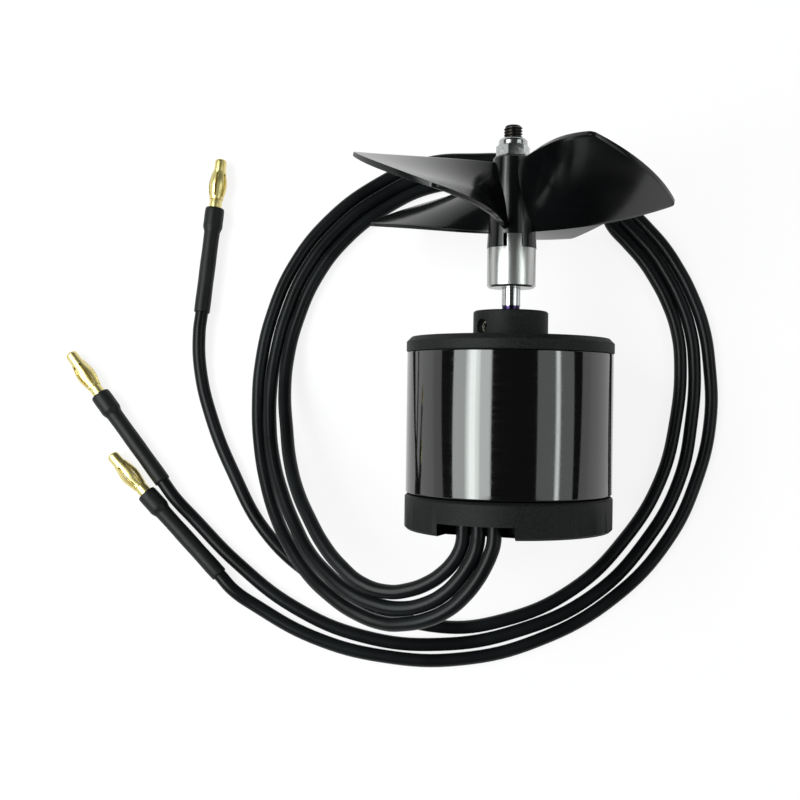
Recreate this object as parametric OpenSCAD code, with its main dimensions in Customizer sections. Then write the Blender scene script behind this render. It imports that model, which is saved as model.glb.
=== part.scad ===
// Underwater thruster: an outrunner motor with a four-blade propeller and three phase leads, lying on its side.
// Millimetres. Every motor piece is drawn along the shaft, with x to the right and y away from the viewer,
// and is then laid down on the surface it rests on. The origin is the middle of the mounting face.

/* [Base] */
// Diameter of the base and of the end cap
base_d = 55.3; // [54:0.1:60]
// Height of the base's outer wall
base_h = 9.1; // [8:0.1:11]
// Thickness of the base's floor
base_floor = 5.8; // [5.4:0.1:7]
// Bevel along the base's edges
base_bevel = 0.6; // [0.2:0.1:1]
// Thickness of the wall round the coil hollow
base_wall = 4; // [3:0.1:5]
// Diameter of the collar under the stator stack
collar_d = 23; // [21:0.1:24]
// Height of that collar above the base's floor
collar_h = 7.7; // [6.5:0.1:9]
// Width of the pocket that the leads leave by
pocket_w = 20.4; // [19:0.1:21]
// Depth of that pocket
pocket_depth = 3.2; // [2.5:0.1:3.6]
// Distance from the axis to the pocket's inner wall
pocket_inner = 15; // [14:0.1:16]
// Corner radius at the pocket's inner wall
pocket_corner = 3; // [1.5:0.1:4]
// Direction of the pocket round the axis
pocket_angle = -111; // [-116:1:-106]

/* [Mounting holes] */
// Pitch circle of the mounting holes
mount_pcd = 30; // [28:0.1:31]
// Number of mounting holes
mount_count = 4; // [4]
// Drill diameter for the tapped holes
mount_drill = 3.3; // [2.5:0.1:3.5]
// Depth of the mounting holes
mount_depth = 4.6; // [4:0.1:5]

/* [Bearings] */
// Bore of each ball bearing, and diameter of the shaft
shaft_d = 5; // [4.8:0.1:5.2]
// Outside diameter of each bearing
bearing_od = 14; // [13.6:0.1:14.4]
// Width of each bearing
bearing_w = 5; // [4.5:0.1:5.5]
// Distance between the bearings' outer faces
bearing_span = 40; // [38:0.1:41]
// Distance of the lower bearing from the mounting face
bearing_inset = 2; // [1.8:0.1:2.4]
// Balls in each bearing
ball_count = 7; // [6:1:7]
// Diameter of each ball
ball_d = 2.2; // [2:0.1:2.3]
// Diameter of the bearing tube
tube_d = 18; // [17.4:0.1:19]

/* [Stator] */
// Height of the stator's steel stack
stack_h = 25; // [22:0.1:26]
// Teeth on the stator
tooth_count = 12; // [12]
// Width of a tooth
tooth_w = 4; // [3:0.1:4.2]
// Thickness of the ring that carries the teeth
yoke_w = 3; // [2.5:0.1:3.5]
// Thickness of a tooth's shoe
shoe_h = 2; // [1.5:0.1:2.5]
// Gap between two shoes
slot_gap = 2.4; // [2:0.1:3]
// How far the coils stand out of the stack
coil_overhang = 2.6; // [2:0.1:2.9]

/* [Rotor] */
// How far the can is set in from the base and the end cap
can_inset = 0.2; // [0.1:0.05:0.5]
// Wall of the can
can_wall = 2.2; // [1.8:0.1:2.6]
// Length of the spacer between the upper bearing and the end cap
spacer_h = 4.7; // [3.8:0.1:6]
// Running gap between the base and the can
run_gap = 0.4; // [0.3:0.1:0.8]
// Number of magnets
magnet_count = 14; // [14]
// Thickness of a magnet
magnet_t = 2.2; // [1.8:0.1:2.6]
// Angle of the space between two magnets
magnet_space = 3; // [2:0.1:5]
// Air gap between the magnets and the stator
air_gap = 0.5; // [0.4:0.1:0.8]

/* [End cap] */
// Thickness of the end cap
cap_h = 3.9; // [3:0.1:5]
// Bevel along the end cap's upper edge
cap_bevel = 1.3; // [0.5:0.1:2]
// Depth of the spigot that centres the cap in the can
spigot_h = 1.6; // [1:0.1:2]
// Wall of that spigot
spigot_wall = 2.5; // [2:0.1:4]
// Diameter of the boss that clamps the shaft
boss_d = 20; // [18:0.1:22]
// Height of the boss
boss_h = 7.2; // [6.5:0.1:9]
// Bevel along the boss's upper edge
boss_bevel = 0.4; // [0.2:0.1:1]
// Diameter of the boss's grub screws
cap_grub_d = 4; // [3:0.1:4.4]
// Length of the boss's grub screws
cap_grub_l = 6; // [5:0.1:6.2]
// Height of the grub screws above the cap's face
cap_grub_rise = 2.8; // [2.6:0.1:3.6]
// Direction of the first grub screw
cap_grub_angle = -143; // [-160:1:-120]

/* [Shaft and drive dog] */
// Length of shaft that shows between the boss and the drive dog
shaft_show = 6.3; // [4:0.1:9]
// Depth of the relief groove beside the boss
relief_depth = 0.12; // [0.05:0.01:0.3]
// Length of that groove
relief_l = 1.5; // [1:0.1:2.5]
// Thickness of the retaining ring under the lower bearing
ring_t = 0.6; // [0.4:0.1:0.8]
// Diameter of the retaining ring
ring_d = 8; // [7.4:0.1:9]
// Depth of the retaining ring's groove
ring_groove = 0.35; // [0.25:0.05:0.5]
// Diameter of the drive dog
dog_d = 13; // [12:0.1:14]
// Height of the drive dog
dog_h = 10.4; // [9.5:0.1:12]
// Length of shaft inside the drive dog
dog_grip = 5.5; // [5:0.1:7]
// Width of the dog's tongue
tongue_w = 3.9; // [3.5:0.1:4.2]
// Height of the dog's tongue
tongue_h = 3.4; // [2.5:0.1:4]
// Turn of the tongue against the side of its slot
tongue_turn = 3.5; // [0:0.1:4]
// Diameter of the dog's grub screw
dog_grub_d = 3; // [2.5:0.1:4]

/* [Propeller] */
// Diameter over the blade tips
prop_d = 89; // [86:0.1:92]
// Number of blades
blade_count = 4; // [4]
// Height of the hub
hub_h = 24.5; // [24:0.1:27]
// Diameter of the hub where it meets the drive dog
hub_d = 13.3; // [12.8:0.1:14]
// Diameter of the hub under the nut
hub_top_d = 10.6; // [10:0.1:11.5]
// Width of the slot that takes the tongue
hub_slot_w = 5; // [4.8:0.1:5.4]
// Angle that a blade covers, before its edges sweep in
blade_wrap = 69; // [66:0.5:72]
// Sweep of the blade's upper edge at the hub
high_root = 3; // [0:0.5:5]
// Sweep of the blade's upper edge at the tip
high_sweep = 7.2; // [6:0.1:8]
// Sweep of the blade's lower edge at the hub
low_root = 18; // [14:0.5:20]
// Sweep of the blade's lower edge at the tip
low_sweep = 20; // [18:0.5:22]
// Distance of the blade's upper edge below the hub's top
blade_inset = 1.8; // [1.5:0.1:2.2]
// Fall of the upper edge from the hub to the tip
high_fall = 1.2; // [0.8:0.1:1.6]
// Distance of the blade's lower edge above the hub's bottom
blade_lift = 4.2; // [4:0.1:4.6]
// Rise of the lower edge from the hub to the tip
low_rise = 5; // [4.5:0.1:5.5]
// Blade thickness at the root
root_t = 4.2; // [3:0.1:4.5]
// Blade thickness at the tip
tip_t = 1.5; // [1.2:0.1:2]
// Blade thickness along its edges
edge_t = 1; // [0.6:0.1:1.2]
// Corner radius at the tip
tip_round = 1.2; // [1:0.1:3]
// Angle of the first blade's upper edge
prop_turn = -76; // [-78:0.5:-74]

/* [Stud and lock nut] */
// Diameter of the propeller's stud
stud_d = 5; // [4.8:0.1:5.2]
// Length of stud that shows above the nut
stud_show = 3.5; // [2:0.1:6]
// Width of the nut across its flats
nut_af = 8; // [7.6:0.1:9]
// Height of the nut's hexagon
nut_hex_h = 3; // [2.6:0.1:4]
// Height of the nut's collar
nut_collar_h = 1.9; // [1.6:0.1:2.5]
// Diameter of the nut's collar
nut_collar_d = 7.8; // [7.4:0.1:8]
// Diameter of the nylon insert
insert_d = 6.6; // [6.4:0.1:6.8]

/* [Leads] */
// Diameter of a phase lead over its insulation
lead_d = 3.7; // [3.4:0.05:3.75]
// Radius of the circle that the leads leave the base on
lead_exit_r = 20.5; // [20.2:0.1:21]
// Angle of the middle lead
lead_exit_angle = -114; // [-116:0.5:-112]
// Angle between neighbouring leads
lead_exit_step = 11.8; // [11.6:0.1:12.4]
// Length of a heat-shrink sleeve
sleeve_l = 32; // [30:0.5:34]
// Diameter of the sleeve over the lead
sleeve_d = 4.6; // [4.4:0.1:4.8]
// Diameter of the sleeve over the plug's cup
sleeve_cup_d = 5.7; // [5.4:0.1:5.8]
// Length of the sleeve's wider end
sleeve_cup_l = 5.5; // [4.5:0.1:7]
// Diameter of the bullet plug's spring cage
plug_cage_d = 5.3; // [4.9:0.1:5.5]
// Length of the spring cage
plug_cage_l = 8.7; // [7.5:0.1:9.5]
// Diameter of the plug's nose
plug_nose_d = 3.4; // [3:0.05:3.6]
// Length of the plug's nose
plug_nose_l = 3.9; // [3:0.1:4.5]
// Diameter of the plug's stem
plug_stem_d = 3.6; // [3.3:0.05:3.8]
// Length of the plug's stem
plug_stem_l = 2.8; // [2:0.1:3.5]
// Slits round the spring cage
plug_slits = 6; // [4:1:8]

/* [Hidden] */
$fn = 96;

// Clearances
fit = 0.02;          // a piece pushed onto or into another
slack = 0.1;         // a loose fit
ball_clear = 0.06;   // a ball in its track and in its cage
coil_clear = 0.15;   // a coil round its tooth
coil_gap = 0.4;      // two neighbouring coils
past = 1;            // how far a cut runs past a face

// Radii
base_r = base_d / 2;
hollow_r = base_r - base_wall;
collar_r = collar_d / 2;
tube_r = tube_d / 2;
shaft_r = shaft_d / 2;
bearing_r = bearing_od / 2;
ball_r = ball_d / 2;
ball_track_r = (shaft_r + bearing_r) / 2;
race_share = 0.68;
race_gap = race_share * ball_d;
inner_race_r = ball_track_r - race_gap / 2;
outer_race_r = ball_track_r + race_gap / 2;
can_r = base_r - can_inset;
can_inner_r = can_r - can_wall;
magnet_outer_r = can_inner_r - fit;
magnet_inner_r = magnet_outer_r - magnet_t;
stator_r = magnet_inner_r - air_gap;
yoke_r = tube_r + fit + yoke_w;
shoe_r = stator_r - shoe_h;
cap_r = base_r;
boss_r = boss_d / 2;
dog_r = dog_d / 2;
prop_r = prop_d / 2;
stud_r = stud_d / 2;
lead_r = lead_d / 2;

// Levels along the shaft, from the mounting face
lower_top = bearing_inset + bearing_w;
tube_top = bearing_inset + bearing_span;
upper_bottom = tube_top - bearing_w;
stack_bottom = base_floor + collar_h;
can_bottom = base_h + run_gap;
can_top = tube_top + spacer_h;
cap_top = can_top + cap_h;
boss_top = cap_top + boss_h;
dog_bottom = boss_top + shaft_show;
dog_top = dog_bottom + dog_h;
shaft_bottom = 0.4;
shaft_top = dog_bottom + dog_grip;
hub_bottom = dog_top;
hub_top = hub_bottom + hub_h;
nut_top = hub_top + nut_hex_h + nut_collar_h;
stud_top = nut_top + stud_show;
cap_grub_level = cap_top + cap_grub_rise;
dog_grub_level = dog_bottom + dog_grip / 2;
dog_grub_angle = 90;

// Blade stations, from inside the hub to the tip, closing in on the rounded corners
root_cover = 1.2;
root_r = stud_r + slack + root_cover;
station_steps = 9;
blade_stations = concat(
  [for (i = [0 : station_steps]) root_r + (prop_r - tip_round - root_r) * i / station_steps],
  [for (k = [30, 60, 90]) prop_r - tip_round * (1 - sin(k))]
);
chord_steps = 10;

// Angle and level of the blade's two edges at radius r, before the corners are rounded
function high_angle(r) = high_root * pow(1 - r / prop_r, 2) + high_sweep * pow(r / prop_r, 4);
function low_angle(r) = blade_wrap - low_root * pow(1 - r / prop_r, 4) - low_sweep * pow(r / prop_r, 1.4);
function high_level(r) = hub_top - blade_inset - high_fall * pow(r / prop_r, 4);
function low_level(r) = hub_bottom + blade_lift + low_rise * pow(r / prop_r, 1.4);
// Fall of the blade's face in one degree of turn
function descent(r) = (high_level(r) - low_level(r)) / (low_angle(r) - high_angle(r));
// Angle between a blade's section and the plane across the shaft
function lay_angle(r) = atan(descent(r) * 180 / (PI * r));
// How far the rounded corner pulls the edge in at radius r
function corner_pull(r) =
  let (beyond = max(0, r - (prop_r - tip_round)))
  tip_round - sqrt(max(0, tip_round * tip_round - beyond * beyond));
// Angle at radius r, counted from the upper edge's root, where s runs from 0 at the upper edge to 1 at the lower
function chord_angle(r, s) =
  let (
    pull = corner_pull(r) * cos(lay_angle(r)) / r * 180 / PI,
    high = high_angle(r) + pull,
    low = low_angle(r) - pull
  )
  high + (low - high) * s;
// Level of the blade's middle face
function blade_level(r, turn) = high_level(r) - descent(r) * (turn - high_angle(r));
// Thickness, fullest in mid-chord
function blade_thickness(r, s) =
  let (full = root_t + (tip_t - root_t) * (r - root_r) / (prop_r - root_r))
  edge_t + (full - edge_t) * 4 * s * (1 - s);
// A point on the upper (side 1) or lower (side -1) face
function blade_point(r, s, side) =
  let (
    half = side * blade_thickness(r, s) / 2,
    turn = chord_angle(r, s),
    lay = lay_angle(r),
    angle = turn + half * sin(lay) / r * 180 / PI
  )
  [r * cos(angle), r * sin(angle), blade_level(r, turn) + half * cos(lay)];
function blade_loop(r) = concat(
  [for (j = [0 : chord_steps]) blade_point(r, j / chord_steps, 1)],
  [for (j = [chord_steps : -1 : 0]) blade_point(r, j / chord_steps, -1)]
);

// The thruster lies on the base's rim and on a lower blade corner, which sets its tilt
blade_points = [
  for (k = [0 : blade_count - 1]) for (r = blade_stations) for (p = blade_loop(r))
    let (spin = prop_turn + k * 360 / blade_count)
    [p[0] * sin(spin) + p[1] * cos(spin), p[2]]
];
rest_tilt = max([for (p = blade_points) atan((p[0] - base_r) / (p[1] - base_bevel))]);
surface_z = base_bevel * sin(rest_tilt) - base_r * cos(rest_tilt);
// A point of the standing motor, seen lying down
function laid(p) = [
  p[0],
  p[2] * cos(rest_tilt) + p[1] * sin(rest_tilt),
  p[2] * sin(rest_tilt) - p[1] * cos(rest_tilt)
];

// Where lead i (-1, 0 or 1) leaves the base
function exit_spot(i, level) =
  let (angle = lead_exit_angle + i * lead_exit_step)
  [lead_exit_r * cos(angle), lead_exit_r * sin(angle), level];
lead_bend_level = 0.5;
function lead_start(i) = [
  laid(exit_spot(i, base_floor)),
  laid(exit_spot(i, pocket_depth)),
  laid(exit_spot(i, lead_bend_level))
];

// Routes of the leads on the surface: x, y and height of the middle line above the surface
route_a = [
  [-12.2, -4.3, 43.4], [-13, -6.7, 42.9], [-14.6, -9.3, 42.2], [-17.3, -12.1, 41.2], [-20.9, -14.5, 40],
  [-25.7, -16.3, 38.5], [-31.1, -16.9, 36.8], [-38, -15, 34.5], [-44, -10.5, 31.5], [-49, -5, 28],
  [-53.5, 2, 24], [-57.5, 9.5, 19.5], [-60.5, 18, 15], [-62.5, 28, 10.5], [-64, 39, 6.5], [-63.8, 50, 3.6],
  [-61.6, 61.2, 2.1], [-56.4, 74.4, 1.9], [-47.9, 86.3, 1.9], [-35.4, 96.6, 1.9], [-22, 103, 1.9],
  [-8, 104.2, 1.9], [7, 104.3, 1.9], [18.5, 104, 1.9], [25.7, 101.6, 1.9], [29.8, 96.4, 1.9],
  [32.2, 91.4, 1.9], [36.4, 86.6, 1.9], [41.2, 81, 1.9], [45, 75, 1.9], [48.2, 68.6, 1.9], [51, 60, 1.9],
  [52, 50, 1.9], [50.4, 33, 1.9], [45.5, 15, 1.9], [35, -2, 1.9], [20, -16.5, 1.9], [0, -25.5, 1.9],
  [-18, -27.5, 1.9], [-38, -22, 1.9], [-55, -13.5, 1.9], [-69, -1, 1.9], [-79, 16, 1.9], [-86, 32, 1.9],
  [-89.8, 46, 2.1]
];
route_b = [
  [-8.6, -5, 45.2], [-9.4, -7.7, 44.7], [-10.9, -10.5, 44], [-13.2, -13.7, 43], [-16.4, -16.9, 41.8],
  [-21.1, -19.6, 40.2], [-27.4, -21, 37.8], [-35, -20, 34.5], [-42, -17, 31], [-48, -12.5, 27],
  [-53.5, -7, 22.5], [-58, 0, 18], [-62.5, 9, 13.5], [-66, 19, 9.5], [-68, 30, 6], [-68.5, 41, 3.5],
  [-67.5, 52, 2.1], [-65.3, 62.2, 1.9], [-59.8, 76.2, 1.9], [-50.7, 88.9, 1.9], [-37.5, 99.8, 1.9],
  [-22.9, 106.7, 1.9], [-8, 108, 1.9], [6.9, 108.1, 1.9], [19, 107.8, 1.9], [27.9, 104.7, 1.9],
  [33.2, 98.1, 1.9], [35.5, 93.4, 1.9], [39.1, 89.3, 1.9], [44.3, 83.3, 1.9], [48.3, 76.9, 1.9],
  [51.7, 70.1, 1.9], [54.9, 60.6, 1.9], [56.1, 50, 1.9], [55, 33, 1.9], [51, 15, 1.9], [41.5, -2, 1.9],
  [26, -18, 1.9], [4, -28.5, 1.9], [-18, -32.5, 1.9], [-40, -30.5, 1.9], [-60, -22.5, 1.9], [-77, -10, 1.9],
  [-89.6, 2.2, 2.1]
];
route_c = [
  [-4.6, -5, 46.8], [-5.4, -7.5, 46.5], [-6.6, -10.2, 46], [-8.6, -13.7, 45.2], [-11.6, -17.5, 44],
  [-15.6, -21, 42.3], [-21.2, -23.7, 40], [-26.8, -24.9, 37.3], [-32, -25, 34.5], [-40, -22.5, 30.5],
  [-47.5, -18, 26], [-54, -12.5, 21], [-59.5, -5.5, 16.5], [-64, 2, 12], [-68, 12, 8], [-71, 24, 4.5],
  [-72.3, 36, 2.4], [-72, 48, 1.9], [-69.1, 63.2, 1.9], [-63.2, 78.1, 1.9], [-53.5, 91.6, 1.9],
  [-39.6, 103.1, 1.9], [-23.9, 110.5, 1.9], [-8, 111.9, 1.9], [6.9, 112, 1.9], [19.5, 111.7, 1.9],
  [30.2, 107.9, 1.9], [36.7, 99.8, 1.9], [38.8, 95.5, 1.9], [41.9, 92, 1.9], [47.4, 85.6, 1.9],
  [51.7, 78.8, 1.9], [55.3, 71.6, 1.9], [58.9, 61.2, 1.9], [60.5, 50, 1.9], [60.5, 33, 1.9], [56, 15, 1.9],
  [47.5, -2, 1.9], [32, -18.5, 1.9], [10, -31, 1.9], [-12, -36.5, 1.9], [-34, -36, 1.9], [-54, -31, 1.9],
  [-71.2, -22.1, 2.1]
];
// Where each sleeve starts, and the direction it points in
sleeve_start = [[-90, 63], [-99, 12.8], [-81.4, -13.7]];
sleeve_heading = [85.5, 128, 134];
sleeve_rise = 0.05;
sleeve_height = sleeve_cup_d / 2 + sleeve_rise;
sleeve_step = 1.5;
sleeve_wall = 0.2;
plug_cup_r = sleeve_d / 2 - sleeve_wall;
plug_cup_l = sleeve_cup_l + sleeve_step;
lead_in_sleeve = sleeve_l - plug_cup_l;

function sleeve_spot(i, along) = [
  sleeve_start[i][0] + along * cos(sleeve_heading[i]),
  sleeve_start[i][1] + along * sin(sleeve_heading[i]),
  surface_z + sleeve_height
];
function on_surface(route) = [for (p = route) [p[0], p[1], surface_z + p[2]]];
lead_run_in = 6;
function lead_end(i) =
  [for (along = [-lead_run_in, 0, lead_in_sleeve / 2, lead_in_sleeve]) sleeve_spot(i, along)];
lead_lines = [
  concat(lead_start(-1), on_surface(route_a), lead_end(0)),
  concat(lead_start(0), on_surface(route_b), lead_end(1)),
  concat(lead_start(1), on_surface(route_c), lead_end(2))
];

// A smooth line through the points, with one extra point in the middle of each stretch
function middle(line, i) =
  let (
    last = len(line) - 1,
    p = line[max(0, i - 1)],
    q = line[i],
    r = line[i + 1],
    s = line[min(last, i + 2)]
  )
  (9 * (q + r) - p - s) / 16;
function smooth(line) = concat(
  [for (i = [0 : len(line) - 2]) each [line[i], middle(line, i)]],
  [line[len(line) - 1]]
);
function unit(v) = v / norm(v);
lead_sides = 8;
function tube_ring(line, i) =
  let (
    ahead = unit(line[min(len(line) - 1, i + 1)] - line[max(0, i - 1)]),
    side = unit(cross(ahead, [0, 0, 1])),
    up = cross(side, ahead)
  )
  [for (k = [0 : lead_sides - 1])
    let (turn = 360 * k / lead_sides)
    line[i] + lead_r * (cos(turn) * side + sin(turn) * up)];

// A closed skin over a row of rings that all have the same even number of points
module skin(rings) {
  m = len(rings[0]);
  last = len(rings) - 1;
  half = m / 2;
  sides = [for (i = [0 : last - 1]) for (k = [0 : m - 1])
    let (
      a = i * m + k,
      b = i * m + (k + 1) % m
    )
    each [[a, b, a + m], [b, b + m, a + m]]];
  front = [for (k = [0 : half - 2]) each [[k, m - 2 - k, k + 1], [k, m - 1 - k, m - 2 - k]]];
  back = [for (f = front) [f[2] + last * m, f[1] + last * m, f[0] + last * m]];
  polyhedron(points = [for (ring = rings) each ring], faces = concat(front, sides, back), convexity = 6);
}

// Lays a standing piece down on the surface
module lie_down() {
  rotate([rest_tilt - 90, 0, 0]) children();
}

// A ring turned round the shaft, between two radii and two levels
module ring(inner, outer, bottom, top) {
  translate([0, 0, bottom])
    difference() {
      cylinder(r = outer, h = top - bottom);
      translate([0, 0, -past]) cylinder(r = inner, h = top - bottom + 2 * past);
    }
}

// A radial hole or pin from radius from_r to to_r
module radial(from_r, to_r, d, level, angle, sides = 48) {
  rotate([0, 0, angle]) translate([from_r, 0, level]) rotate([0, 90, 0]) cylinder(d = d, h = to_r - from_r, $fn = sides);
}

// The base: floor, coil hollow, bearing tube, lead pocket and mounting holes
module base() {
  seat_r = bearing_r + fit;
  shoulder_r = outer_race_r;
  color("#1b1b1d") lie_down() difference() {
    rotate_extrude() polygon([
      [seat_r, 0], [base_r - base_bevel, 0], [base_r, base_bevel], [base_r, base_h - base_bevel],
      [base_r - base_bevel, base_h], [hollow_r, base_h], [hollow_r, base_floor], [collar_r, base_floor],
      [collar_r, stack_bottom], [tube_r, stack_bottom], [tube_r, tube_top], [seat_r, tube_top],
      [seat_r, upper_bottom], [shoulder_r, upper_bottom], [shoulder_r, lower_top], [seat_r, lower_top]
    ]);
    rotate([0, 0, pocket_angle]) translate([0, 0, -past]) linear_extrude(height = pocket_depth + past) pocket_outline();
    for (i = [-1 : 1])
      translate(exit_spot(i, 0)) cylinder(d = lead_d + 2 * slack, h = base_floor + past);
    for (k = [0 : mount_count - 1])
      rotate([0, 0, pocket_angle + (k + 0.5) * 360 / mount_count])
        translate([mount_pcd / 2, 0, -past]) cylinder(d = mount_drill, h = mount_depth + past);
  }
}

// Outline of the lead pocket, running out past the rim
module pocket_outline() {
  inset = pocket_inner + pocket_corner;
  translate([inset, -pocket_w / 2]) square([base_r, pocket_w]);
  translate([pocket_inner, pocket_corner - pocket_w / 2]) square([base_r, pocket_w - 2 * pocket_corner]);
  for (side = [-1, 1])
    translate([inset, side * (pocket_w / 2 - pocket_corner)]) circle(r = pocket_corner);
}

// The laminated stack with its teeth and shoes
module stator_core() {
  color("#5c5a58") lie_down() translate([0, 0, stack_bottom]) linear_extrude(height = stack_h) difference() {
    union() {
      circle(r = yoke_r);
      for (k = [0 : tooth_count - 1])
        rotate(k * 360 / tooth_count) translate([tube_r + yoke_w / 2, -tooth_w / 2]) square([shoe_r - tube_r, tooth_w]);
      difference() {
        circle(r = stator_r);
        circle(r = shoe_r);
        for (k = [0 : tooth_count - 1])
          rotate((k + 0.5) * 360 / tooth_count) translate([0, -slot_gap / 2]) square([stator_r + past, slot_gap]);
      }
    }
    circle(r = tube_r + fit);
  }
}

// One coil round each tooth, filling its share of the slots
module windings() {
  half_pitch = 180 / tooth_count;
  inner = yoke_r + coil_clear;
  outer = shoe_r - coil_clear;
  hole_w = tooth_w + 2 * coil_clear;
  color("#8a4a22") lie_down() for (k = [0 : tooth_count - 1])
    rotate([0, 0, k * 360 / tooth_count]) difference() {
      translate([0, 0, stack_bottom - coil_overhang])
        linear_extrude(height = stack_h + 2 * coil_overhang) intersection() {
          circle(r = outer);
          polygon([
            for (corner = [[inner, -1], [outer, -1], [outer, 1], [inner, 1]])
              [corner[0], corner[1] * (corner[0] * tan(half_pitch) - coil_gap / 2)]
          ]);
        }
      translate([0, -hole_w / 2, stack_bottom - coil_clear]) cube([stator_r, hole_w, stack_h + 2 * coil_clear]);
    }
}

// Track that the balls run in
module ball_track(bottom) {
  translate([0, 0, bottom + bearing_w / 2]) rotate_extrude()
    translate([ball_track_r, 0]) circle(r = ball_r + ball_clear, $fn = 48);
}

module outer_race(bottom) {
  color("#b9bcc0") lie_down() difference() {
    ring(outer_race_r, bearing_r, bottom, bottom + bearing_w);
    ball_track(bottom);
  }
}

module inner_race(bottom) {
  color("#c6c9cd") lie_down() difference() {
    ring(shaft_r + fit, inner_race_r, bottom, bottom + bearing_w);
    ball_track(bottom);
  }
}

// Balls and the cage that spaces them
module ball_set(bottom) {
  cage_lip = 0.5;
  cage_half = ball_r + cage_lip;
  cage_wall = race_gap / 4;
  mid = bottom + bearing_w / 2;
  color("#d8b36a") lie_down() {
    difference() {
      ring(ball_track_r - cage_wall, ball_track_r + cage_wall, mid - cage_half, mid + cage_half);
      balls(mid, ball_r + ball_clear);
    }
    balls(mid, ball_r);
  }
}

module balls(level, r) {
  for (k = [0 : ball_count - 1])
    rotate([0, 0, k * 360 / ball_count]) translate([ball_track_r, 0, level]) sphere(r = r, $fn = 32);
}

module lower_outer_race() {
  outer_race(bearing_inset);
}

module upper_outer_race() {
  outer_race(upper_bottom);
}

module lower_inner_race() {
  inner_race(bearing_inset);
}

module upper_inner_race() {
  inner_race(upper_bottom);
}

module lower_ball_set() {
  ball_set(bearing_inset);
}

module upper_ball_set() {
  ball_set(upper_bottom);
}

// The turning can
module rotor_can() {
  lip = 0.3;
  color("#0d0d0f") lie_down() rotate_extrude() polygon([
    [can_inner_r, can_bottom], [can_r - lip, can_bottom], [can_r, can_bottom + lip], [can_r, can_top],
    [can_inner_r, can_top]
  ]);
}

// Magnets bonded inside the can, level with the stack
module magnets() {
  half = 180 / magnet_count - magnet_space / 2;
  reach = 1.2 * can_r;
  color("#8d9094") lie_down() translate([0, 0, stack_bottom]) linear_extrude(height = stack_h) intersection() {
    difference() {
      circle(r = magnet_outer_r);
      circle(r = magnet_inner_r);
    }
    for (k = [0 : magnet_count - 1])
      rotate(k * 360 / magnet_count)
        polygon([[0, 0], reach * [cos(half), -sin(half)], reach * [cos(half), sin(half)]]);
  }
}

// The end cap with its spigot and shaft boss
module end_cap() {
  bore_r = shaft_r + fit;
  spigot_r = can_inner_r - fit;
  color("#1d1d1f") lie_down() difference() {
    rotate_extrude() polygon([
      [bore_r, can_top], [spigot_r - spigot_wall, can_top], [spigot_r - spigot_wall, can_top - spigot_h],
      [spigot_r, can_top - spigot_h], [spigot_r, can_top], [cap_r, can_top], [cap_r, cap_top - cap_bevel],
      [cap_r - cap_bevel, cap_top], [boss_r, cap_top], [boss_r, boss_top - boss_bevel],
      [boss_r - boss_bevel, boss_top], [bore_r, boss_top]
    ]);
    for (angle = cap_grub_angles())
      radial(0, boss_r + past, cap_grub_d + 2 * fit, cap_grub_level, angle);
  }
}

// Two grub screws, a quarter turn apart
function cap_grub_angles() = [cap_grub_angle, cap_grub_angle - 90];

// A grub screw with a hexagon socket, bearing on a pin of radius seat_r
module grub_screw(seat_r, d, length, level, angle) {
  socket_af = d / 2;
  socket_depth = d / 2;
  difference() {
    radial(seat_r + fit, seat_r + fit + length, d, level, angle);
    radial(seat_r + fit + length - socket_depth, seat_r + length + past, socket_af / cos(30), level, angle, 6);
  }
}

module cap_grub_screws() {
  color("#2a2a2c") lie_down() for (angle = cap_grub_angles())
    grub_screw(shaft_r, cap_grub_d, cap_grub_l, cap_grub_level, angle);
}

// The motor shaft, with a ring groove below and a relief groove beside the boss
module shaft() {
  lead_in = 0.4;
  groove_r = shaft_r - ring_groove;
  relief_r = shaft_r - relief_depth;
  color("#c9ccd0") lie_down() rotate_extrude() polygon([
    [0, shaft_bottom], [shaft_r - lead_in, shaft_bottom], [shaft_r, shaft_bottom + lead_in],
    [shaft_r, bearing_inset - ring_t], [groove_r, bearing_inset - ring_t], [groove_r, bearing_inset],
    [shaft_r, bearing_inset], [shaft_r, boss_top], [relief_r, boss_top], [relief_r, boss_top + relief_l],
    [shaft_r, boss_top + relief_l], [shaft_r, shaft_top], [0, shaft_top]
  ]);
}

// Spacer between the upper bearing and the end cap
module bearing_spacer() {
  color("#b4b7ba") lie_down() ring(shaft_r + fit, inner_race_r, tube_top, can_top);
}

// Open ring that keeps the shaft from sliding out
module retaining_ring() {
  opening = 2 * (shaft_r - ring_groove);
  color("#33322f") lie_down() difference() {
    ring(shaft_r - ring_groove + fit, ring_d / 2, bearing_inset - ring_t, bearing_inset);
    translate([0, -opening / 2, 0]) cube([ring_d, opening, bearing_inset]);
  }
}

// The drive dog: a clamped collar with a tongue across its top
module drive_dog() {
  edge = 0.5;
  color("#d3d5d6") lie_down() difference() {
    union() {
      rotate_extrude() polygon([
        [0, dog_bottom], [dog_r - edge, dog_bottom], [dog_r, dog_bottom + edge], [dog_r, dog_top], [0, dog_top]
      ]);
      intersection() {
        cylinder(r = dog_r, h = dog_top + tongue_h);
        rotate([0, 0, tongue_turn]) translate([-tongue_w / 2, -dog_r, dog_top - past])
          cube([tongue_w, dog_d, tongue_h + past]);
      }
    }
    translate([0, 0, dog_bottom - past]) cylinder(r = shaft_r + fit, h = dog_grip + past);
    translate([0, 0, shaft_top]) cylinder(r = stud_r + fit, h = dog_h + tongue_h);
    radial(0, dog_r + past, dog_grub_d + 2 * fit, dog_grub_level, dog_grub_angle);
  }
}

module dog_grub_screw() {
  color("#2a2a2c") lie_down()
    grub_screw(shaft_r, dog_grub_d, dog_r - shaft_r - 3 * slack, dog_grub_level, dog_grub_angle);
}

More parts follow.
